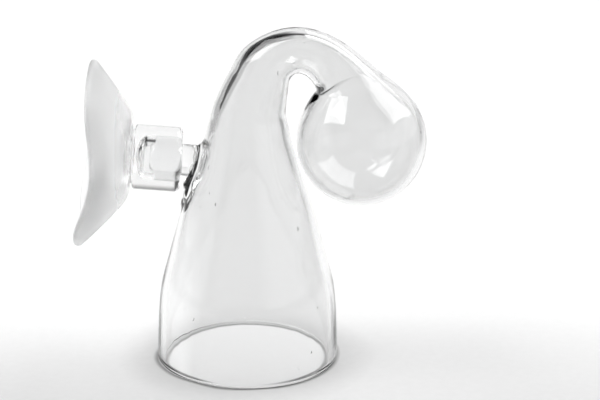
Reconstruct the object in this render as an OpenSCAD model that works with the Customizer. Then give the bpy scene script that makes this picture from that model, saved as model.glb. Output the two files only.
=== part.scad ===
// Glass drop checker: a bell that stands in the water, a swan neck, a round
// reagent bulb and a peg that carries a soft suction cup.
// Millimetres, +Z up. The origin is the centre of the bell's mouth, in the
// plane of its rim. The bulb hangs on the +X side and the cup points to -X.

/* [Bell] */
// Outer diameter of the bell at its rim
mouth_d = 30; // [25:0.5:38]
// Height of the straight wall above the rim
mouth_h = 10.5; // [7:0.5:14]
// Height at which the bell becomes the neck
bell_h = 41.6; // [34:0.2:50]
// Outer diameter where the bell becomes the neck
neck_base_d = 12.5; // [10.4:0.1:15]
// Wall of the bell and of the neck
glass_wall = 1.2; // [0.9:0.05:1.45]
// How far the outside narrows from the rim to the top of the straight wall
mouth_taper = 0.35; // [0.2:0.05:0.6]
// Radius of the polished outer edge of the rim
rim_round = 0.4; // [0.2:0.05:0.6]

/* [Swan neck] */
// Height of the centreline at the top of the arch, above the bell
arch_rise = 11.6; // [10:0.1:14]
// Outer diameter at the top of the arch, where the tube is narrowest
arch_d = 7.2; // [6:0.1:8.6]

/* [Reagent bulb] */
// Outer diameter of the bulb
bulb_d = 21.3; // [17.7:0.1:25.6]
// Wall of the bulb
bulb_wall = 1; // [0.7:0.05:1.4]
// How far below the top of the bell the bulb comes closest to the wall
bulb_drop = 7; // [5.8:0.1:8.4]
// Space between the bulb and the wall of the bell
bulb_gap = 0.3; // [0.2:0.1:2]
// Outer diameter of the weld between the neck and the bulb
weld_d = 10.6; // [9.6:0.1:11.4]
// How far the collar with the weld stands out of the ball
collar_rise = 0.5; // [0.2:0.1:1]
// Lean of the collar towards the bell, in degrees
collar_lean = 13; // [8:0.5:18]

/* [Hanging peg] */
// Diameter of the peg
peg_d = 5.2; // [4.4:0.1:6.2]
// How far below the top of the bell the peg's axis meets the bell's axis
peg_drop = 8.1; // [6.8:0.1:9.6]
// Rise of the peg towards the cup, in degrees
peg_lean = 4; // [2:0.5:8]
// Width of the welded foot of the peg
foot_d = 8.4; // [7.2:0.1:9.6]
// Length of the peg inside the suction cup
peg_grip = 5.2; // [4.4:0.1:6.2]

/* [Suction cup] */
// Space between the bell and the cup's head, along the peg
head_gap = 2.6; // [2:0.1:4]
// Diameter of the head that holds the peg
head_d = 10.6; // [8.9:0.1:12.7]
// Length of the head
head_len = 7.8; // [6.5:0.1:9.4]
// Running clearance around the peg in the socket
socket_clearance = 0.05; // [0.02:0.01:0.1]
// Room in the socket beyond the end of the peg
socket_spare = 2.2; // [1:0.1:3]
// Wall between the socket and the hollow face of the disc
web_wall = 2.8; // [2:0.1:3.4]
// Diameter of the disc at its lip
disc_d = 30.5; // [25.4:0.5:36.6]
// Depth of the disc from its lip back to the head
disc_depth = 8.1; // [6.7:0.1:10]
// Width of the flat lip that seals on the aquarium's glass
lip_w = 0.7; // [0.5:0.05:1]

/* [Hidden] */
$fn = 96;

glass_tint = [0.86, 0.92, 0.92, 0.45];
silicone_tint = [0.93, 0.94, 0.95, 0.75];

mouth_r = mouth_d / 2;
neck_base_r = neck_base_d / 2;
arch_r = arch_d / 2;
bulb_r = bulb_d / 2;
weld_r = weld_d / 2;
peg_r = peg_d / 2;
disc_r = disc_d / 2;
head_r = head_d / 2;
foot_r = foot_d / 2;

// ---------- curves ----------

// A point of the Catmull-Rom curve between b and c, a share t of the way along
function curve_point(a, b, c, d, t) =
    0.5 * (2 * b + (c - a) * t + (2 * a - 5 * b + 4 * c - d) * t * t
        + (3 * b - a - 3 * c + d) * t * t * t);

// The curve through all knots but the first and the last, which only aim it
function curve_through(knots, steps) = [
    for (i = [1 : len(knots) - 3], s = [0 : steps - 1])
        curve_point(knots[i - 1], knots[i], knots[i + 1], knots[i + 2], s / steps),
    knots[len(knots) - 2]
];

// Points of an arc, from one angle to the other
function arc_points(centre, r, from, to, steps) = [
    for (i = [0 : steps])
        let (a = from + (to - from) * i / steps)
        [centre[0] + r * cos(a), centre[1] + r * sin(a)]
];

// The points at shares of the way from one corner to the other, along X and Y
function between(from, to, shares) = [
    for (s = shares)
        [from[0] + (to[0] - from[0]) * s[0], from[1] + (to[1] - from[1]) * s[1]]
];

// ---------- bell ----------

wall_top_r = mouth_r - mouth_taper;
bore_r = wall_top_r - glass_wall;
// From the straight wall to the neck: a share of the way in, a share of the way up
bell_shares = [[0, 0], [0.065, 0.1], [0.175, 0.21], [0.295, 0.335], [0.43, 0.47],
    [0.585, 0.605], [0.74, 0.735], [0.863, 0.845], [0.94, 0.935], [1, 1]];
bell_knots = between([wall_top_r, mouth_h], [neck_base_r, bell_h], bell_shares);
bell_aim_low = [wall_top_r + mouth_taper / 3, 0.7 * mouth_h];
bell_aim_high = [neck_base_r - 0.3, bell_h + 2];
bell_curve = curve_through(concat([bell_aim_low], bell_knots, [bell_aim_high]), 4);

// Outer radius of the bell at a height
function bell_r_at(z) = lookup(z, [for (p = bell_curve) [p[1], p[0]]]);
// Angle of the bell's wall from upright at a height
function bell_lean_at(z) = atan((bell_r_at(z - 1) - bell_r_at(z + 1)) / 2);

module bell() {
    inside = [for (i = [len(bell_curve) - 1 : -1 : 0]) bell_curve[i] - [glass_wall, 0]];
    color(glass_tint)
        rotate_extrude()
            polygon(concat(
                arc_points([mouth_r - rim_round, rim_round], rim_round, -90, 0, 6),
                bell_curve,
                inside,
                [[bore_r, 0]]));
}

// Everything inside the bell's outer surface, which trims the peg's foot
module bell_solid() {
    rotate_extrude()
        polygon(concat([[0, 0], [mouth_r, 0]], bell_curve, [[0, bell_h]]));
}

// ---------- bulb ----------

// The bulb hangs beside the bell's wall, bulb_gap away from it
side_z = bell_h - bulb_drop;
side_lean = bell_lean_at(side_z);
bulb_x = bell_r_at(side_z) + (bulb_r + bulb_gap) * cos(side_lean);
bulb_z = side_z + (bulb_r + bulb_gap) * sin(side_lean);
collar_dir = [-sin(collar_lean), cos(collar_lean)];
collar_h = sqrt(bulb_r * bulb_r - weld_r * weld_r) + collar_rise;
weld_x = bulb_x + collar_h * collar_dir[0];
weld_z = bulb_z + collar_h * collar_dir[1];

module reagent_bulb() {
    skirt_h = 2.3;
    skirt_w = 2;
    color(glass_tint)
        translate([bulb_x, 0, bulb_z])
            rotate([0, -collar_lean, 0])
                difference() {
                    union() {
                        sphere(bulb_r);
                        translate([0, 0, collar_h - skirt_h])
                            cylinder(h = skirt_h, r1 = weld_r + skirt_w, r2 = weld_r);
                    }
                    sphere(bulb_r - bulb_wall);
                    cylinder(h = 2 * bulb_r, r = weld_r - glass_wall);
                    translate([0, 0, collar_h])
                        cylinder(h = bulb_r, r = bulb_r);
                }
}

// ---------- neck ----------

// Knots of the neck: X and Z of the centreline, the outer radius, and the angle of the
// tube from +X, which turns evenly enough that no ring crosses the one before it
arch_x = 0.487 * weld_x;
arch_z = bell_h + arch_rise;
// The whole turn of the neck, from upright at the bell to the collar's axis at the weld
full_turn = 180 - collar_lean;
// The climb: shares of the way over, of the way up, of the narrowing and of the whole turn
climb_shares = [[0, 0, 0, 0], [0.07, 0.23, 0.19, 0.042], [0.21, 0.51, 0.44, 0.108],
    [0.42, 0.81, 0.69, 0.228], [1, 1, 1, 0.551]];
climb_knots = [for (s = climb_shares)
    [arch_x * s[0], bell_h + arch_rise * s[1], neck_base_r + (arch_r - neck_base_r) * s[2],
        90 - full_turn * s[3]]];
// The fall: shares of the way over, of the way down, of the widening and of the whole turn
fall_share = [0.58, 0.315, 0.24, 0.81];
fall_knot = [arch_x + (weld_x - arch_x) * fall_share[0],
    arch_z - (arch_z - weld_z) * fall_share[1], arch_r + (weld_r - arch_r) * fall_share[2],
    90 - full_turn * fall_share[3]];
weld_knot = [weld_x, weld_z, weld_r, 90 - full_turn];
// The first and last knots only aim the curve, upright at the bell and square into the
// collar at the weld, where a longer aim keeps it straight for longer
aim_len = 4;
neck_aim_low = [climb_knots[1][0], bell_h - arch_rise * climb_shares[1][1],
    climb_knots[1][2] + 1, 90];
neck_aim_high = [fall_knot[0] - aim_len * collar_dir[0], fall_knot[1] - aim_len * collar_dir[1],
    weld_r + 1.6, 90 - 1.1 * full_turn];
neck_line = curve_through(concat([neck_aim_low], climb_knots,
    [fall_knot, weld_knot, neck_aim_high]), 7);
neck_sides = 48;

// Direction of the tube at ring i, exact where it meets the bell and the bulb
function neck_dir(i) = [cos(neck_line[i][3]), sin(neck_line[i][3])];

// Ring i of the tube, set in from the outside by skin
function neck_ring(i, skin) =
    let (c = neck_line[i], dir = neck_dir(i), r = c[2] - skin)
    [for (k = [0 : neck_sides - 1])
        let (a = 360 * k / neck_sides)
        [c[0] + r * cos(a) * dir[1], r * sin(a), c[1] - r * cos(a) * dir[0]]];

module swan_neck() {
    n = neck_sides;
    last = len(neck_line) - 1;
    end = last * n;
    half = end + n;
    outer = [for (i = [0 : last]) each neck_ring(i, 0)];
    inner = [for (i = [0 : last]) each neck_ring(i, glass_wall)];
    outer_faces = [for (i = [0 : last - 1], k = [0 : n - 1])
        [i * n + k, (i + 1) * n + k, (i + 1) * n + (k + 1) % n, i * n + (k + 1) % n]];
    inner_faces = [for (f = outer_faces)
        [half + f[3], half + f[2], half + f[1], half + f[0]]];
    low_faces = [for (k = [0 : n - 1])
        [k, (k + 1) % n, half + (k + 1) % n, half + k]];
    high_faces = [for (k = [0 : n - 1])
        [end + (k + 1) % n, end + k, half + end + k, half + end + (k + 1) % n]];
    color(glass_tint)
        polyhedron(points = concat(outer, inner),
            faces = concat(outer_faces, inner_faces, low_faces, high_faces), convexity = 6);
}

// ---------- peg and cup, both on the peg's axis ----------

peg_z = bell_h - peg_drop;
foot_z = peg_z + bell_r_at(peg_z) * tan(peg_lean);
foot_x = -bell_r_at(foot_z);
foot_lean = bell_lean_at(foot_z);
foot_bury = 1.5;
// Stations along the peg's axis, counted from the bell's axis
wall_s = -foot_x / cos(peg_lean);
head_s = wall_s + head_gap;
peg_end_s = head_s + peg_grip;
socket_end_s = peg_end_s + socket_spare;
back_s = head_s + head_len;
floor_s = socket_end_s + web_wall;
lip_s = back_s + disc_depth;

// Puts a piece made along +Z onto the peg's axis, which leaves the bell to -X
module on_peg_axis() {
    translate([0, 0, peg_z])
        rotate([0, peg_lean - 90, 0])
            children();
}

// The flared foot stands square on the sloping wall, a hollow fillet around the peg
module peg_foot() {
    foot_rise = 1.7;
    flare = foot_r - peg_r;
    translate([foot_x, 0, foot_z])
        rotate([0, foot_lean - 90, 0])
            rotate_extrude()
                polygon(concat(
                    [[0, -foot_bury], [foot_r, -foot_bury]],
                    [for (i = [0 : 6])
                        let (a = 90 * i / 6)
                        [foot_r - flare * sin(a), foot_rise * (1 - cos(a))]],
                    [[0, foot_rise]]));
}

module hanging_peg() {
    tip_round = 0.7;
    color(glass_tint)
        difference() {
            union() {
                peg_foot();
                on_peg_axis()
                    rotate_extrude()
                        polygon(concat(
                            [[0, wall_s - foot_bury], [peg_r, wall_s - foot_bury]],
                            arc_points([peg_r - tip_round, peg_end_s - tip_round],
                                tip_round, 0, 90, 6),
                            [[0, peg_end_s]]));
            }
            bell_solid();
        }
}

module suction_cup() {
    socket_r = peg_r + socket_clearance;
    dome_h = 1.6;
    lead_in = 0.3;
    groove_w = 0.4;
    groove_r = head_r - 0.8;
    floor_r = 3.9;
    front_round = 0.9;
    back_round = 0.3;
    back_root = [head_r + 0.3, back_s + groove_w];
    back_edge = [disc_r - 0.1, lip_s - 0.7];
    // The disc's back swings out like a trumpet: shares of the way out and of the way along
    back_shares = [[1, 1], [0.79, 0.73], [0.445, 0.33], [0.17, 0.06], [0, 0]];
    color(silicone_tint)
        on_peg_axis()
            rotate_extrude()
                polygon(concat(
                    // socket, from its mouth to its domed end
                    [[socket_r + lead_in, head_s], [socket_r, head_s + lead_in]],
                    [for (i = [0 : 8])
                        let (a = 90 * i / 8)
                        [socket_r * cos(a), socket_end_s - dome_h * (1 - sin(a))]],
                    // hollow face and lip of the disc
                    [[0, floor_s], [floor_r, floor_s], [floor_r + 0.9, floor_s + 0.35]],
                    [[disc_r - 1.6, lip_s - 0.75], [disc_r - lip_w, lip_s], [disc_r, lip_s]],
                    // back of the disc and the groove behind it
                    between(back_root, back_edge, back_shares),
                    [[groove_r, back_s + groove_w], [groove_r, back_s]],
                    // head
                    arc_points([head_r - back_round, back_s - back_round],
                        back_round, 90, 0, 4),
                    arc_points([head_r - front_round, head_s + front_round],
                        front_round, 0, -90, 6)));
}

bell();
swan_neck();
reagent_bulb();
hanging_peg();
suction_cup();
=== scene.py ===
"""Glass drop checker with a suction cup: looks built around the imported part.

Sizes are in millimetres until a mesh is made, and metres after that. The vessel is one
closed surface of rings carried along its line: up the bell, over the swan neck and
through the bulb, with its bore inside. The peg is joined to it. The cup is one closed
surface of rings around the peg's axis.
"""
import math

import bpy
import numpy as np
from mathutils import Euler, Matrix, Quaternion, Vector


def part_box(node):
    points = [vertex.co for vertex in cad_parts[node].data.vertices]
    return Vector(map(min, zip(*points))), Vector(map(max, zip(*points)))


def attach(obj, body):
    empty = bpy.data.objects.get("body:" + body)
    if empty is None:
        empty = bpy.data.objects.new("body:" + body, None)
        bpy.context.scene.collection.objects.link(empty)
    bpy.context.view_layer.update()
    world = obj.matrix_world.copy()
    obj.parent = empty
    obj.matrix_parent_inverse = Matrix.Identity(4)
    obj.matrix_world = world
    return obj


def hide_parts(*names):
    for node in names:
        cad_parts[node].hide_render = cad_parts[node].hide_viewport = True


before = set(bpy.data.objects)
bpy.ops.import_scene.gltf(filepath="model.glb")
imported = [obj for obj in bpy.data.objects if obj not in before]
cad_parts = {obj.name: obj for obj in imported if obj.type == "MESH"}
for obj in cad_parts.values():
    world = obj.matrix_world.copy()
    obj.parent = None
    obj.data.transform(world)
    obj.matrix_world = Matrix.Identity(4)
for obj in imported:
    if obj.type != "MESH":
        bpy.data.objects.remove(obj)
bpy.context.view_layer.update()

MM = 0.001
scene = bpy.context.scene


# ---------- camera ----------

def make_camera():
    """A long lens that looks down a little on the vessel from the front."""
    aim = Vector((8.58, 0, 27.43)) * MM
    distance = 0.45
    elevation = math.radians(19.5)
    tilt = math.radians(0.45)
    back = Vector((0, -math.cos(elevation), math.sin(elevation)))
    data = bpy.data.cameras.new("camera")
    data.sensor_width = 36
    data.lens = 164.4
    data.clip_start = 0.01
    data.clip_end = 60
    camera = bpy.data.objects.new("camera", data)
    camera.location = aim + distance * back
    camera.rotation_mode = "QUATERNION"
    level = Euler((math.pi / 2 - elevation, 0, 0)).to_quaternion()
    camera.rotation_quaternion = level @ Quaternion((0, 0, 1), tilt)
    scene.collection.objects.link(camera)
    scene.camera = camera


make_camera()


# ---------- sizes of the vessel and the cup, as the part has them ----------

bell_high = np.array(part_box("bell")[1]) / MM
bulb_low, bulb_high = (np.array(corner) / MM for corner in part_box("reagent_bulb"))

MOUTH_R = bell_high[0]
BELL_H = bell_high[2]
MOUTH_H = 10.5
MOUTH_TAPER = 0.35
NECK_BASE_R = 6.25
GLASS_WALL = 1.2
RIM_ROUND = 0.45

ARCH_RISE = 11.6
ARCH_R = 3.6

BULB_R = bulb_high[1]
BULB_WALL = 1.0
BULB_X = bulb_high[0] - BULB_R
BULB_Z = bulb_low[2] + BULB_R
WELD_R = 5.3
COLLAR_RISE = 0.5
COLLAR_LEAN = math.radians(13)

PEG_R = 2.6
PEG_Z = BELL_H - 8.1
PEG_LEAN = math.radians(4)
PEG_GRIP = 5.2
PEG_END_ROUND = 0.9
HEAD_GAP = 2.6
HEAD_R = 5.3
HEAD_LEN = 7.8
SOCKET_SPARE = 2.2
WEB_WALL = 2.8
DISC_R = 15.25
DISC_DEPTH = 8.1
LIP_W = 0.7

# The soft socket wets the glass: it bites this deep into the peg, so no film of air shows
GRIP = 0.01
SOCKET_R = PEG_R - GRIP

# Points around the rings, and how many rings there are
TURNS = 128
PEG_TURNS = 72
CUP_TURNS = 160
WALL_RINGS = 19
BULB_RINGS = 72
CURVE_STEPS = 8
LINE_STEPS = 12


# ---------- curves ----------

def curve_through(knots, steps):
    """Catmull-Rom curve through all knots but the first and the last, which only aim it.

    Between knots b and c, with a before and d after, the point at share t is half of
    2b + (c - a)t + (2a - 5b + 4c - d)t^2 + (3b - a - 3c + d)t^3.
    """
    knots = np.asarray(knots, float)
    a, b, c, d = knots[:-3], knots[1:-2], knots[2:-1], knots[3:]
    t = (np.arange(steps) / steps)[None, :, None]
    a, b, c, d = (k[:, None, :] for k in (a, b, c, d))
    points = 0.5 * (2 * b + (c - a) * t + (2 * a - 5 * b + 4 * c - d) * t ** 2
                    + (3 * b - a - 3 * c + d) * t ** 3)
    return np.vstack([points.reshape(-1, knots.shape[1]), knots[-2:-1]])


def smooth(x, low, high):
    """0 below low, 1 above high, and 3t^2 - 2t^3 of the share t between them."""
    t = np.clip((x - low) / (high - low), 0, 1)
    return t * t * (3 - 2 * t)


def bell_shape(x, middle, reach):
    """e to the minus square of the distance from the middle, counted in reaches."""
    return np.exp(-((x - middle) / reach) ** 2)


def arc(centre, radius, start, end, steps):
    """Points of an arc: centre plus radius times (cos, sin) of the angles in degrees."""
    a = np.radians(np.linspace(start, end, steps + 1))
    return np.column_stack([centre[0] + radius * np.cos(a), centre[1] + radius * np.sin(a)])


def turns_of(count):
    """That many angles, evenly round a ring."""
    return 2 * np.pi * np.arange(count) / count


def closed_mesh(name, rows, first, last):
    """A mesh of rings between two poles.

    rows is an array of rings by points by xyz, and first and last are the poles. Each
    face takes two neighbours of a ring and the same two of the next ring, so the whole
    is closed. It faces outwards when the rings turn by the right hand about the way in
    which they follow each other.
    """
    n, m = rows.shape[:2]
    points = np.vstack([rows.reshape(-1, 3), first, last]) * MM
    i, j = np.meshgrid(np.arange(n - 1), np.arange(m), indexing="ij")
    k = (j + 1) % m
    quads = np.stack([i * m + j, i * m + k, (i + 1) * m + k, (i + 1) * m + j], -1)
    j = np.arange(m)
    k = (j + 1) % m
    low = np.stack([np.full(m, n * m), k, j], -1)
    end = (n - 1) * m
    high = np.stack([end + j, end + k, np.full(m, n * m + 1)], -1)
    mesh = bpy.data.meshes.new(name)
    mesh.from_pydata(points, [], quads.reshape(-1, 4).tolist() + low.tolist() + high.tolist())
    mesh.polygons.foreach_set("use_smooth", np.ones(len(mesh.polygons), bool))
    mesh.update()
    return mesh


def add_piece(name, mesh):
    """A piece of that mesh at the origin."""
    piece = bpy.data.objects.new(name, mesh)
    scene.collection.objects.link(piece)
    return piece


# ---------- the line of the vessel ----------

def bell_outline():
    """Radius and height of the bell's outside, from the top of its straight wall."""
    wall_r = MOUTH_R - MOUTH_TAPER
    shares = np.array([[0, 0], [0.065, 0.1], [0.175, 0.21], [0.295, 0.335], [0.43, 0.47],
                       [0.585, 0.605], [0.74, 0.735], [0.863, 0.845], [0.94, 0.935], [1, 1]])
    knots = np.column_stack([wall_r + (NECK_BASE_R - wall_r) * shares[:, 0],
                             MOUTH_H + (BELL_H - MOUTH_H) * shares[:, 1]])
    low = [wall_r + MOUTH_TAPER / 3, 0.7 * MOUTH_H]
    high = [NECK_BASE_R - 0.3, BELL_H + 2]
    return curve_through(np.vstack([low, knots, high]), CURVE_STEPS)


BELL_CURVE = bell_outline()


def bell_r_at(z):
    """Outer radius of the bell at a height."""
    return np.interp(z, BELL_CURVE[:, 1], BELL_CURVE[:, 0])


def neck_line():
    """X, Z, outer radius and angle of the tube along the neck, from the bell to the weld.

    The angle is carried along the curve as the places are, so it turns evenly. With it
    come the tube's way at each ring, and the way out of the bulb's collar.
    """
    collar = np.array([-math.sin(COLLAR_LEAN), math.cos(COLLAR_LEAN)])
    rise = math.sqrt(BULB_R ** 2 - WELD_R ** 2) + COLLAR_RISE
    weld = np.array([BULB_X, BULB_Z]) + rise * collar
    arch_x = 0.487 * weld[0]
    arch_z = BELL_H + ARCH_RISE
    turn = math.pi - COLLAR_LEAN
    up = math.pi / 2
    climb = np.array([[0, 0, 0, 0], [0.07, 0.23, 0.19, 0.042], [0.21, 0.51, 0.44, 0.108],
                      [0.42, 0.81, 0.69, 0.228], [1, 1, 1, 0.551]])
    climb = climb * [arch_x, ARCH_RISE, ARCH_R - NECK_BASE_R, -turn]
    climb = climb + [0, BELL_H, NECK_BASE_R, up]
    fall = [arch_x + 0.58 * (weld[0] - arch_x), arch_z - 0.315 * (arch_z - weld[1]),
            ARCH_R + 0.24 * (WELD_R - ARCH_R), up - 0.81 * turn]
    low = [climb[1, 0], BELL_H - 0.23 * ARCH_RISE, climb[1, 2] + 1, up]
    high = [fall[0] - 4 * collar[0], fall[1] - 4 * collar[1], WELD_R + 1.6, up - 1.1 * turn]
    end = [weld[0], weld[1], WELD_R, up - turn]
    line = curve_through(np.vstack([low, climb, fall, end, high]), LINE_STEPS)
    way = np.column_stack([np.cos(line[:, 3]), np.sin(line[:, 3])])
    return line, way, collar


def rings(centre, way, radius):
    """Rings around a line in the XZ plane.

    A point is the centre plus radius times cos of its turn on the side that the line
    bends to, and radius times sin of its turn along Y.
    """
    a = turns_of(TURNS)
    radius = np.broadcast_to(radius, (len(centre), TURNS))
    x = centre[:, :1] + radius * np.cos(a) * way[:, 1:]
    z = centre[:, 1:2] - radius * np.cos(a) * way[:, :1]
    return np.stack([x, radius * np.sin(a), z], -1)


def upright(heights):
    """Centres on the bell's axis at those heights, and the way up at each."""
    return np.column_stack([0 * heights, heights]), np.tile([0.0, 1.0], (len(heights), 1))


def peg_bump(points):
    """How far the foot of the peg lifts the bell's outside at each point.

    With d the distance from the peg's axis, it is the foot's rise times the square of
    the share of the way from the foot's edge to the peg's side. Below the axis the
    distance is counted shorter, so the melted glass runs down. Under that hang three
    small drips, each a height times e to the minus squares of the shares of its size.
    """
    foot_r, rise, run = 4.2, 1.15, 1.9
    drips = ((-1.9, 4.6, 0.6), (-0.5, 6.2, 0.5), (1.4, 5.2, 0.5))
    drip_wide, drip_high = 0.75, 1.15
    up = points[..., 2] - (PEG_Z - points[..., 0] * math.tan(PEG_LEAN))
    up = np.where(up < 0, up / run, up)
    d = np.hypot(points[..., 1] * (1 + 0.2 * smooth(-up, 1, 4)), up)
    share = np.clip((foot_r - d) / (foot_r - PEG_R + 0.4), 0, 1)
    lift = rise * share ** 2
    for y, below, height in drips:
        off = np.hypot((points[..., 1] - y) / drip_wide,
                       (points[..., 2] - PEG_Z + below) / drip_high)
        lift = lift + height * np.exp(-off ** 2)
    return np.where(points[..., 0] < 0, lift, 0)


def eased(rows, ring, steps, share, reach):
    """Rings eased along the tube near the ring of that number.

    At each step a point moves half a share of the way to the middle of its neighbours on
    the rings before and after it, fading with distance from that ring.
    """
    rows = rows.copy()
    place = np.arange(len(rows))[1:-1, None, None]
    near = 0.5 * share * bell_shape(place, ring, reach)
    for _ in range(steps):
        middle = 0.5 * (rows[:-2] + rows[2:])
        rows[1:-1] += near * (middle - rows[1:-1])
    return rows


def glass_mesh():
    """The vessel's bore from the bulb's far end to the mouth, the rim, and its outside."""
    a = turns_of(TURNS)
    line, way, collar = neck_line()

    # Outside of the bell above the rounded rim
    wall_z = np.linspace(RIM_ROUND, MOUTH_H, WALL_RINGS + 1)[:-1]
    wall_r = MOUTH_R - MOUTH_TAPER * (wall_z / MOUTH_H) ** 1.5
    bell_r = np.concatenate([wall_r, BELL_CURVE[:-1, 0]])
    bell_c, bell_w = upright(np.concatenate([wall_z, BELL_CURVE[:-1, 1]]))

    # The bulb, from the weld to its far end
    bulb = np.array([BULB_X, BULB_Z])
    t_weld = math.asin(WELD_R / BULB_R)
    turn = np.linspace(t_weld, math.pi, BULB_RINGS + 2)[1:-1]
    bulb_s = -BULB_R * np.cos(turn)
    lift = COLLAR_RISE * (1 - smooth(turn, t_weld, t_weld + 0.35))
    bulb_c = bulb - (bulb_s - lift)[:, None] * collar
    bulb_w = np.tile(-collar, (BULB_RINGS, 1))

    # All rings in one list, and the numbers of those where something happens. The arch's
    # top is the fourth knot of the neck's line after its start on the bell.
    centre = np.vstack([bell_c, line[:, :2], bulb_c])
    ways = np.vstack([bell_w, way, bulb_w])
    r = np.concatenate([bell_r, line[:, 2], BULB_R * np.sin(turn)])
    place = np.arange(len(r))[:, None]
    arch = len(bell_r) + 4 * LINE_STEPS
    bulb_start = len(bell_r) + len(line)
    weld = bulb_start - 1
    outer = 0.5 - 0.5 * np.cos(a)
    outer_side = outer[None, :, None]
    inner_side = 1 - outer_side

    # Hand-drawn glass is a little out of round, and fuller behind the weld
    fullness, out_of_round = 0.55, 0.03
    fuller = fullness * bell_shape(place, weld + 4, 6.0) * outer ** 2
    drawn = out_of_round * np.sin(2 * a + 0.05 * place) * smooth(place, 6, 30)
    out_r = r[:, None] + fuller + drawn
    out_r[:len(bell_r)] += peg_bump(rings(centre, ways, out_r))[:len(bell_r)]

    # The flame softens the weld, the end of the straight wall and the inner side of the
    # arch. Each has its ring, steps, share and reach. The weld is left sharper inside the
    # bend, where the bulb's ball meets the tube.
    inner_weld = 0.15
    weld_share = inner_weld + (1 - inner_weld) * outer_side
    weld_steps, weld_reach = 70, 9.0
    wall_ease = (WALL_RINGS, 60, 1.0, 6.0)
    arch_ease = (arch, 60, inner_side, 12.0)
    outside = eased(rings(centre, ways, out_r), weld, weld_steps, weld_share, weld_reach)
    outside = eased(eased(outside, *wall_ease), *arch_ease)

    # The weld's own line, a groove a tenth of a millimetre deep
    groove_depth, groove_reach = 0.11, 1.3
    middle = np.column_stack([centre[:, 0], 0 * r, centre[:, 1]])[:, None]
    groove = groove_depth * bell_shape(place, weld, groove_reach) / r[:, None]
    outside += groove[..., None] * (middle - outside)

    # The bore: the wall is thinner in the bulb, thicker at the weld, and a little uneven
    weld_extra, three_sided, one_sided = 0.1, 0.05, 0.04
    wall = np.where(place < weld, GLASS_WALL, BULB_WALL) + 0 * a
    wall = wall + weld_extra * bell_shape(place, weld, 6.0)
    wall = wall + three_sided * np.sin(3 * a + 0.04 * place)
    wall = wall + one_sided * np.sin(a - 0.07 * place)
    in_r = r[:, None] + drawn - wall

    # In the bulb it passes over into a ball of its own
    ball_r = BULB_R - BULB_WALL
    shift = (-ball_r * np.cos(turn) - bulb_s) * smooth(turn, t_weld, t_weld + 0.5)
    in_centre = centre.copy()
    in_centre[bulb_start:] -= shift[:, None] * collar
    mix = smooth(turn, t_weld, t_weld + 0.4)[:, None]
    in_r[bulb_start:] = in_r[bulb_start:] * (1 - mix) + (ball_r * np.sin(turn))[:, None] * mix
    inside = eased(rings(in_centre, ways, in_r), weld, weld_steps, 1.0, weld_reach)
    inside = eased(eased(inside, *wall_ease), *arch_ease)[::-1]

    # The rim, rounded on both edges
    bore_r = in_r[0].mean()
    rim = np.vstack([arc([bore_r + RIM_ROUND, RIM_ROUND], RIM_ROUND, 180, 270, 6)[1:],
                     arc([MOUTH_R - RIM_ROUND, RIM_ROUND], RIM_ROUND, -90, 0, 6)[:-1]])
    edge = rings(*upright(rim[:, 1]), rim[:, :1])

    far_end = bulb - BULB_R * collar
    near_end = bulb - ball_r * collar
    return closed_mesh("glass_vessel", np.vstack([inside, edge, outside]),
                       [near_end[0], 0, near_end[1]], [far_end[0], 0, far_end[1]])


# ---------- the peg ----------

def on_peg_axis(rho, s, turns):
    """Rings around the peg's axis: rho across it and s along it, from the bell's axis.

    The turn starts upwards and goes round by -Y, which is by the right hand about the
    way from the cup to the bell. rho and s may differ round the ring.
    """
    a = turns_of(turns)
    rho = np.broadcast_to(rho, (len(rho), turns))
    s = np.broadcast_to(s, rho.shape)
    up = rho * np.cos(a)
    x = -s * math.cos(PEG_LEAN) + up * math.sin(PEG_LEAN)
    z = PEG_Z + s * math.sin(PEG_LEAN) + up * math.cos(PEG_LEAN)
    return np.stack([x, -rho * np.sin(a), z], -1)


def axis_points(*stations):
    """Points on the peg's axis at those stations."""
    s = np.array(stations)[:, None]
    return on_peg_axis(0 * s, s, 1)[:, 0]


def foot_station():
    """Where the peg's axis leaves the bell: the station at its outer wall."""
    z = PEG_Z
    for _ in range(20):
        z = PEG_Z + float(bell_r_at(z)) * math.tan(PEG_LEAN)
    return float(bell_r_at(z)) / math.cos(PEG_LEAN)


WALL_S = foot_station()
HEAD_S = WALL_S + HEAD_GAP
PEG_END_S = HEAD_S + PEG_GRIP
SOCKET_END_S = PEG_END_S + SOCKET_SPARE
BACK_S = HEAD_S + HEAD_LEN
FLOOR_S = SOCKET_END_S + WEB_WALL
LIP_S = BACK_S + DISC_DEPTH


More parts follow.
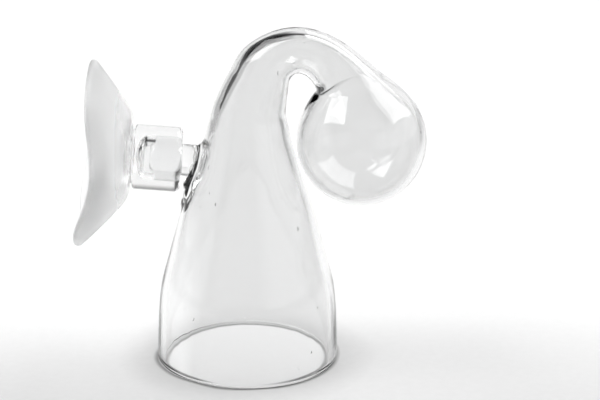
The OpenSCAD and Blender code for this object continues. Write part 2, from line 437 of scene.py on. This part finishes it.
def peg_mesh():
    """The peg, from its rounded end to the middle of the bell's wall.

    It is made from the wall outwards and then turned round. The first rings lie on the
    surface half a wall inside the bell's outside, found by putting each point's height
    back into the bell's radius a few times.
    """
    a = turns_of(PEG_TURNS)
    rho = np.linspace(0, PEG_R, 7)[1:, None] + 0 * a
    s = np.full(rho.shape, WALL_S)
    for _ in range(12):
        z = PEG_Z + s * math.sin(PEG_LEAN) + rho * np.cos(a) * math.cos(PEG_LEAN)
        flat = np.sqrt((bell_r_at(z) - GLASS_WALL / 2) ** 2 - (rho * np.sin(a)) ** 2)
        s = (flat + rho * np.cos(a) * math.sin(PEG_LEAN)) / math.cos(PEG_LEAN)
    root = on_peg_axis(rho, s, PEG_TURNS)

    # The free length is a little out of round, and the held length is true
    out_of_round = 0.06
    share = np.linspace(0, 1, 16)[1:, None]
    side_s = s[-1] + (PEG_END_S - PEG_END_ROUND - s[-1]) * share
    free = 1 - smooth(side_s, HEAD_S - 1.2, HEAD_S - 0.2)
    side_r = PEG_R + out_of_round * free * np.sin(2 * a + 4 * share) * np.sin(np.pi * share)
    side = on_peg_axis(side_r, side_s, PEG_TURNS)

    flat_r = PEG_R - PEG_END_ROUND
    end = arc([flat_r, PEG_END_S - PEG_END_ROUND], PEG_END_ROUND, 0, 90, 8)[1:]
    cap = np.linspace(flat_r, 0, 6)[1:-1]
    end = np.vstack([end, np.column_stack([cap, np.full(len(cap), PEG_END_S)])])
    tip = on_peg_axis(end[:, :1], end[:, 1:], PEG_TURNS)
    middle, far = axis_points(s[0].mean(), PEG_END_S)
    return closed_mesh("peg", np.vstack([root, side, tip])[::-1], far, middle)


def joined(name, body, other):
    """The union of two closed meshes as one piece, with their overlap gone."""
    piece, cutter = add_piece(name, body), add_piece("cutter", other)
    union = piece.modifiers.new("union", "BOOLEAN")
    union.operation = "UNION"
    union.solver = "EXACT"
    union.object = cutter
    bpy.context.view_layer.update()
    finished = piece.evaluated_get(bpy.context.evaluated_depsgraph_get())
    mesh = bpy.data.meshes.new_from_object(finished)
    piece.modifiers.clear()
    piece.data = mesh
    bpy.data.objects.remove(cutter)
    mesh.polygons.foreach_set("use_smooth", np.ones(len(mesh.polygons), bool))
    mesh.set_sharp_from_angle(angle=math.radians(50))
    mesh.materials.clear()
    return piece


# ---------- the suction cup ----------

def cup_profile(root):
    """Radius and station round the cup's half section, from the hollow to the socket."""
    edge_round, nose_round, mouth_round, dome_h = 0.35, 0.95, 0.3, 1.6
    groove_r = HEAD_R - 0.8
    hollow = curve_through([[-4, FLOOR_S], [0.3, FLOOR_S], [3.9, FLOOR_S + 0.05],
                            [5.6, FLOOR_S + 0.6], [9.5, FLOOR_S + 2.9],
                            [DISC_R - 1.4, LIP_S - 0.7], [DISC_R - LIP_W, LIP_S],
                            [DISC_R, LIP_S + 0.3]], CURVE_STEPS)
    lip = np.array([[DISC_R - 0.35, LIP_S + 0.02], [DISC_R - 0.08, LIP_S - 0.08],
                    [DISC_R, LIP_S - 0.3]])
    edge = np.array([DISC_R - 0.1, LIP_S - 0.7])
    shares = np.array([[1.15, 1.25], [1, 1], [0.79, 0.73], [0.445, 0.33], [0.17, 0.06],
                       [0, 0], [-0.05, -0.02]])
    back = curve_through(root + (edge - root) * shares, CURVE_STEPS)
    groove = np.array([[groove_r + 0.15, root[1] - 0.02], [groove_r, BACK_S + 0.3],
                       [groove_r, BACK_S + 0.1], [groove_r + 0.15, BACK_S + 0.01]])
    side_s = np.linspace(BACK_S - 0.6, HEAD_S + 1.2, 10)
    head = np.vstack([arc([HEAD_R - edge_round, BACK_S - edge_round], edge_round, 90, 0, 5),
                      np.column_stack([np.full(len(side_s), HEAD_R), side_s]),
                      arc([HEAD_R - nose_round, HEAD_S + nose_round], nose_round, 0, -90, 8)])
    mouth = arc([SOCKET_R + mouth_round, HEAD_S + mouth_round], mouth_round, 270, 180, 4)
    socket_s = HEAD_S + np.linspace(mouth_round, PEG_GRIP + SOCKET_SPARE - 1.8, 14)[1:]
    socket = np.column_stack([np.full(len(socket_s), SOCKET_R), socket_s])
    angle = np.radians(np.linspace(0, 88, 12))
    dome = np.column_stack([SOCKET_R * np.cos(angle),
                            SOCKET_END_S - dome_h * (1 - np.sin(angle))])
    return np.vstack([hollow, lip, back, groove, head, mouth, socket, dome])


def cup_mesh():
    """The cup, from the middle of its hollow face round by the lip, back and head to the
    domed end of its socket.

    The free lip waves along the axis: the wave at each turn is a smooth curve through
    eight heights, and it fades as a power of the way in from the lip to the groove.
    """
    root = np.array([HEAD_R + 0.3, BACK_S + 0.4])
    profile = cup_profile(root)
    rho, s = profile[:, :1], profile[:, 1:]

    # Waves of the free lip, towards the head, at turns from the top by the near side
    heights = np.array([0, 0.25, 2.1, -0.5, 0, -0.9, 0.1, 0.4])
    knots = np.concatenate([heights[-2:], heights, heights[:3]])[:, None]
    step = CUP_TURNS // len(heights)
    wave = curve_through(knots, step)[step:step + CUP_TURNS, 0]
    out = np.clip((rho - root[0]) / (DISC_R - root[0]), 0, 1)
    rows = on_peg_axis(rho, s - wave[None, :] * out ** 2.2, CUP_TURNS)
    return closed_mesh("silicone_cup", rows, *axis_points(FLOOR_S, SOCKET_END_S))


# ---------- finishes ----------

def new_material(name):
    """A material with its node tree and its shader."""
    material = bpy.data.materials.new(name)
    material.use_nodes = True
    tree = material.node_tree
    return material, tree, tree.nodes["Principled BSDF"]


def object_place(tree):
    """The place on the object, in metres, and its X, Y and Z."""
    place = tree.nodes.new("ShaderNodeTexCoord").outputs["Object"]
    split = tree.nodes.new("ShaderNodeSeparateXYZ")
    tree.links.new(place, split.inputs["Vector"])
    return place, split.outputs


def noise_from(tree, scale, detail=3.0, stretch=(1, 1, 1)):
    """A noise texture's value on Object coordinates, its scale counted per metre."""
    place = tree.nodes.new("ShaderNodeTexCoord")
    turn = tree.nodes.new("ShaderNodeMapping")
    turn.inputs["Scale"].default_value = stretch
    noise = tree.nodes.new("ShaderNodeTexNoise")
    noise.inputs["Scale"].default_value = scale
    noise.inputs["Detail"].default_value = detail
    tree.links.new(place.outputs["Object"], turn.inputs["Vector"])
    tree.links.new(turn.outputs["Vector"], noise.inputs["Vector"])
    return noise.outputs["Fac"]


def spread(tree, source, low, high, to_low, to_high):
    """The source's value from low to high, taken to to_low and to_high."""
    ramp = tree.nodes.new("ShaderNodeMapRange")
    ramp.inputs["From Min"].default_value = low
    ramp.inputs["From Max"].default_value = high
    ramp.inputs["To Min"].default_value = to_low
    ramp.inputs["To Max"].default_value = to_high
    tree.links.new(source, ramp.inputs["Value"])
    return ramp.outputs["Result"]


def maths(tree, operation, *values):
    """The value of a Math node, from numbers and from other nodes' values."""
    node = tree.nodes.new("ShaderNodeMath")
    node.operation = operation
    for value, socket in zip(values, node.inputs):
        if isinstance(value, (int, float)):
            socket.default_value = value
        else:
            tree.links.new(value, socket)
    return node.outputs["Value"]


def two_tones(tree, factor, one, two):
    """A colour from one to two, by the factor's value from 0 to 1."""
    mix = tree.nodes.new("ShaderNodeMix")
    mix.data_type = "RGBA"
    mix.inputs["A"].default_value = (*one, 1)
    mix.inputs["B"].default_value = (*two, 1)
    tree.links.new(factor, mix.inputs["Factor"])
    return mix.outputs["Result"]


def bump_from(tree, source, strength, distance, under=None):
    """Relief of that height in metres from the source's value, over another relief."""
    bump = tree.nodes.new("ShaderNodeBump")
    bump.inputs["Strength"].default_value = strength
    bump.inputs["Distance"].default_value = distance
    tree.links.new(source, bump.inputs["Height"])
    if under is not None:
        tree.links.new(under, bump.inputs["Normal"])
    return bump.outputs["Normal"]


def clear_glass():
    """Lampworked glass: faint draw waves along the tube, tiny seeds and a trace of dust.

    The vessel is a little grey, and the peg, past the bell's wall, is water clear.
    """
    material, tree, shader = new_material("clear_glass")
    shader.inputs["Transmission Weight"].default_value = 1
    shader.inputs["IOR"].default_value = 1.5
    place, axes = object_place(tree)
    peg = spread(tree, axes["X"], -0.0085, -0.0105, 0, 1)
    tone = two_tones(tree, peg, (0.874, 0.876, 0.876), (0.97, 0.972, 0.972))
    tree.links.new(tone, shader.inputs["Base Color"])
    dust = spread(tree, noise_from(tree, 900, 4), 0.62, 0.8, 0, 0.08)
    tree.links.new(dust, shader.inputs["Roughness"])
    cells = tree.nodes.new("ShaderNodeTexVoronoi")
    cells.inputs["Scale"].default_value = 190
    tree.links.new(place, cells.inputs["Vector"])
    seeds = spread(tree, cells.outputs["Distance"], 0.035, 0.06, 1, 0)
    waves = bump_from(tree, noise_from(tree, 160, 2, (1, 1, 0.35)), 0.2, 0.00025)
    tree.links.new(bump_from(tree, seeds, 0.6, 0.00012, waves), shader.inputs["Normal"])
    return material


def clear_silicone():
    """Soft clear silicone: a glossy head, a satin, cloudy disc and faint mould ripples."""
    material, tree, shader = new_material("clear_silicone")
    shader.inputs["Transmission Weight"].default_value = 0.97
    shader.inputs["IOR"].default_value = 1.41
    cloud = noise_from(tree, 220)
    tone = two_tones(tree, cloud, (0.96, 0.963, 0.965), (0.995, 0.995, 0.995))
    tree.links.new(tone, shader.inputs["Base Color"])
    disc = spread(tree, object_place(tree)[1]["X"], -0.0185, -0.0215, 0.04, 0.28)
    satin = maths(tree, "MULTIPLY_ADD", cloud, 0.06, disc)
    tree.links.new(satin, shader.inputs["Roughness"])
    ripples = bump_from(tree, noise_from(tree, 2400), 0.05, 0.0001)
    tree.links.new(ripples, shader.inputs["Normal"])
    return material


# ---------- floor and light ----------

def painted_rim_light_and_shade(tree, place):
    """Painted light and shade in the floor's glow, from -0.5 to 0.5, by the distance from the
    bell's axis: a painted pool of light inside the mouth, a painted dark line of shade under
    each edge of the rim and a painted contact shadow around it. The lines sway a little, as
    the glass does.
    """
    # Millimetres from the axis, and the painted level there: painted light inside the mouth,
    # painted shade in the two dark lines and the contact shadow
    reach = 25.0
    levels = [(0, 0.72), (12.8, 0.74), (13.3, 0.05), (13.8, 0.42), (14.4, 0.4), (14.9, 0),
              (15.6, 0.4), (22, 0.5)]
    flat = tree.nodes.new("ShaderNodeVectorMath")
    flat.operation = "LENGTH"
    tree.links.new(place, flat.inputs[0])
    sway = spread(tree, noise_from(tree, 55, 1), 0.3, 0.7, -0.0005, 0.0005)
    distance = maths(tree, "ADD", flat.outputs["Value"], sway)
    ring = tree.nodes.new("ShaderNodeValToRGB")
    tree.links.new(spread(tree, distance, 0, reach * MM, 0, 1), ring.inputs["Fac"])
    ramp = ring.color_ramp
    while len(ramp.elements) < len(levels):
        ramp.elements.new(0.5)
    for element, (radius, level) in zip(ramp.elements, levels):
        element.position = radius / reach
        element.color = (level, level, level, 1)
    return spread(tree, ring.outputs["Color"], 0, 1, -0.5, 0.5)


def make_floor():
    """A wide pale sheet that glows though it is no lamp: painted light, more at the back and
    less at both ends, as if lit from below.
    """
    half, down = 8.0, -0.00002
    mesh = bpy.data.meshes.new("floor")
    mesh.from_pydata([(-half, -half, down), (half, -half, down), (half, half, down),
                      (-half, half, down)], [], [(0, 1, 2, 3)])
    floor = add_piece("floor", mesh)
    material, tree, shader = new_material("floor")
    grain = spread(tree, noise_from(tree, 700, 4), 0.3, 0.7, 0.29, 0.31)
    colour = tree.nodes.new("ShaderNodeCombineColor")
    for channel in ("Red", "Green", "Blue"):
        tree.links.new(grain, colour.inputs[channel])
    tree.links.new(colour.outputs["Color"], shader.inputs["Base Color"])
    shader.inputs["Roughness"].default_value = 0.8
    shader.inputs["Emission Color"].default_value = (1, 1, 1, 1)

    place, axes = object_place(tree)
    # Painted light: the floor's glow rises towards the back, the two ends dim it as painted
    # shade, and the rim's painted light and shade is added on top
    painted_floor_light = spread(tree, axes["Y"], -0.022, 0.018, 0.4, 0.62)
    right_end = spread(tree, axes["X"], 0.08, 0.15, 1, 0.25)
    left_end = spread(tree, axes["X"], -0.075, -0.14, 1, 0.15)
    painted_floor_light = maths(tree, "MULTIPLY", painted_floor_light, maths(tree, "MINIMUM", right_end, left_end))
    glow = maths(tree, "ADD", painted_floor_light, painted_rim_light_and_shade(tree, place))
    tree.links.new(glow, shader.inputs["Emission Strength"])
    mesh.materials.append(material)


def make_world():
    """A dark room with pale walls low down behind and at both sides, a grey one in front,
    and two square softboxes.

    The wall behind stops short on the left, and the glass shows that as its dark lines.
    A softbox is where the direction's shares across and up its own square are both
    within its half size, and it lies on the softbox's side.
    """
    world = bpy.data.worlds.new("studio")
    world.use_nodes = True
    scene.world = world
    tree = world.node_tree
    way = tree.nodes.new("ShaderNodeTexCoord").outputs["Generated"]
    split = tree.nodes.new("ShaderNodeSeparateXYZ")
    tree.links.new(way, split.inputs["Vector"])

    def along(vector):
        node = tree.nodes.new("ShaderNodeVectorMath")
        node.operation = "DOT_PRODUCT"
        tree.links.new(way, node.inputs[0])
        node.inputs[1].default_value = vector
        return node.outputs["Value"]

    def within(vector, half):
        return spread(tree, maths(tree, "ABSOLUTE", along(vector)), half + 0.03, half, 0, 1)

    def softbox(toward, turn, half_wide, half_high, radiance):
        toward = Vector(toward).normalized()
        across = toward.cross(Vector((0, 0, 1))).normalized()
        across.rotate(Quaternion(toward, math.radians(turn)))
        square = maths(tree, "MULTIPLY", within(across, half_wide),
                       within(across.cross(toward), half_high))
        side = spread(tree, along(toward), 0.2, 0.4, 0, radiance)
        return maths(tree, "MULTIPLY", square, side)

    x, y, z = (split.outputs[axis] for axis in "XYZ")
    back = spread(tree, y, -0.3, 0.5, 0, 1)
    low = spread(tree, z, 0.35, 0.7, 1, 0)
    right = spread(tree, x, -0.1, 0.6, 0, 1)
    left = spread(tree, x, -0.76, -0.9, 0, 1)
    open_side = spread(tree, x, -0.18, -0.02, 0, 1)
    front = spread(tree, y, -0.8, -0.3, 0.5, 0)
    behind = maths(tree, "MULTIPLY", maths(tree, "MULTIPLY", back, low), open_side)
    beside = maths(tree, "MULTIPLY", maths(tree, "MAXIMUM", right, left), low)
    room = maths(tree, "MAXIMUM", maths(tree, "MAXIMUM", behind, beside), front)
    room = spread(tree, room, 0, 1, 0.01, 1)
    lamps = maths(tree, "ADD", softbox((-0.582, -0.113, 0.805), 32, 0.3, 0.33, 5.5),
                  softbox((0.586, 0.295, 0.755), -32, 0.4, 0.4, 3.0))
    background = tree.nodes["Background"]
    background.inputs["Color"].default_value = (1, 1, 1, 1)
    tree.links.new(maths(tree, "ADD", room, lamps), background.inputs["Strength"])


# ---------- put together ----------

vessel = joined("glass_vessel", glass_mesh(), peg_mesh())
vessel.data.materials.append(clear_glass())
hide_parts("bell", "swan_neck", "reagent_bulb", "hanging_peg")
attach(vessel, "glassware")

cup = add_piece("silicone_cup", cup_mesh())
cup.data.materials.append(clear_silicone())
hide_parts("suction_cup")
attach(cup, "cup")

make_floor()
make_world()

scene.view_settings.view_transform = "Standard"
scene.cycles.max_bounces = 24
scene.cycles.transmission_bounces = 24
scene.cycles.glossy_bounces = 8
